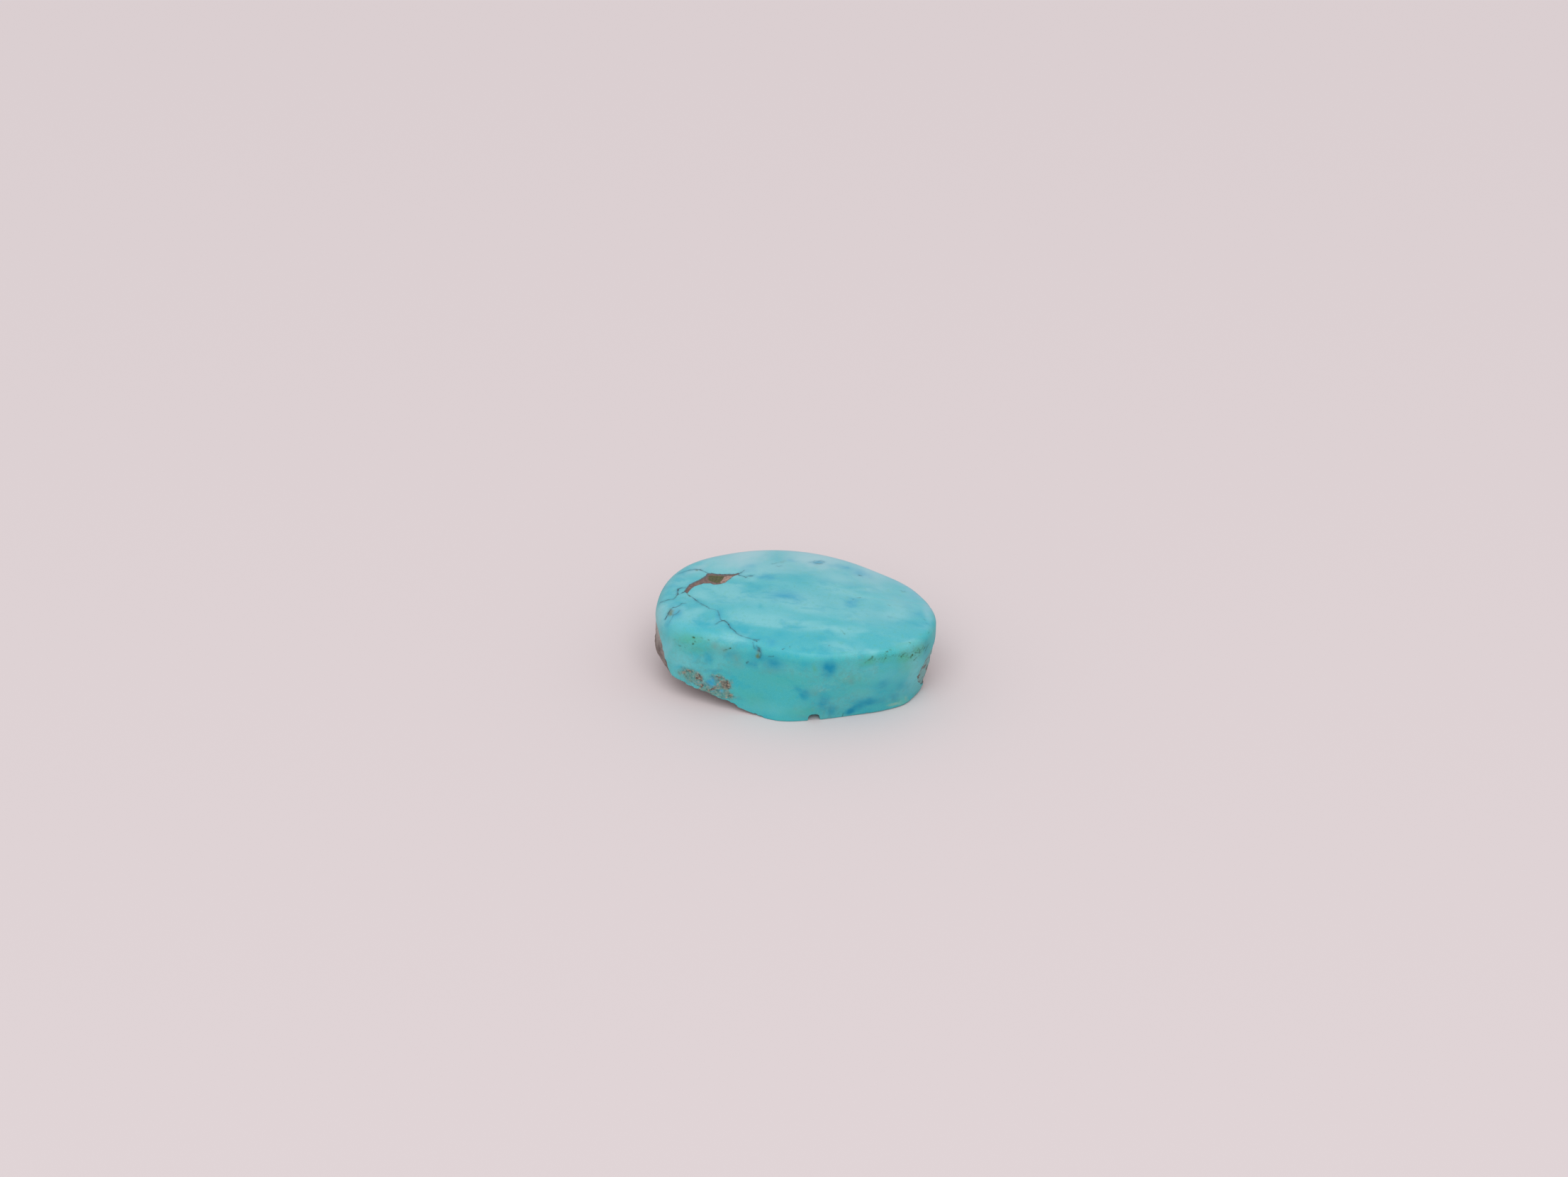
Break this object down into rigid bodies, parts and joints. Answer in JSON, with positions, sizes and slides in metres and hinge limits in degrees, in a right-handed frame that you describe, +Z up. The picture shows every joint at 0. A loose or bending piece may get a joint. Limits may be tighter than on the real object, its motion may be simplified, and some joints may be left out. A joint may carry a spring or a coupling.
{
  "type": "part-polished turquoise nugget",
  "caption": "Free-form oval turquoise nugget with a polished domed face and edge, rough host rock at one end, and a flat sawn base to rest on.",
  "frame": {"origin": "middle of the footprint's box, on the plane of the sawn base", "axes": "+X along the stone's length towards its blunt end, +Y towards the rougher long side, +Z up out of the polished dome"},
  "size_m": [0.0225, 0.0153, 0.0073],
  "materials": {
    "turquoise": "waxy polish, with rough grey-brown host rock at one end and behind"
  },
  "bodies": {
    "root": {"turquoise_nugget": "turquoise"}
  },
  "joints": []
}
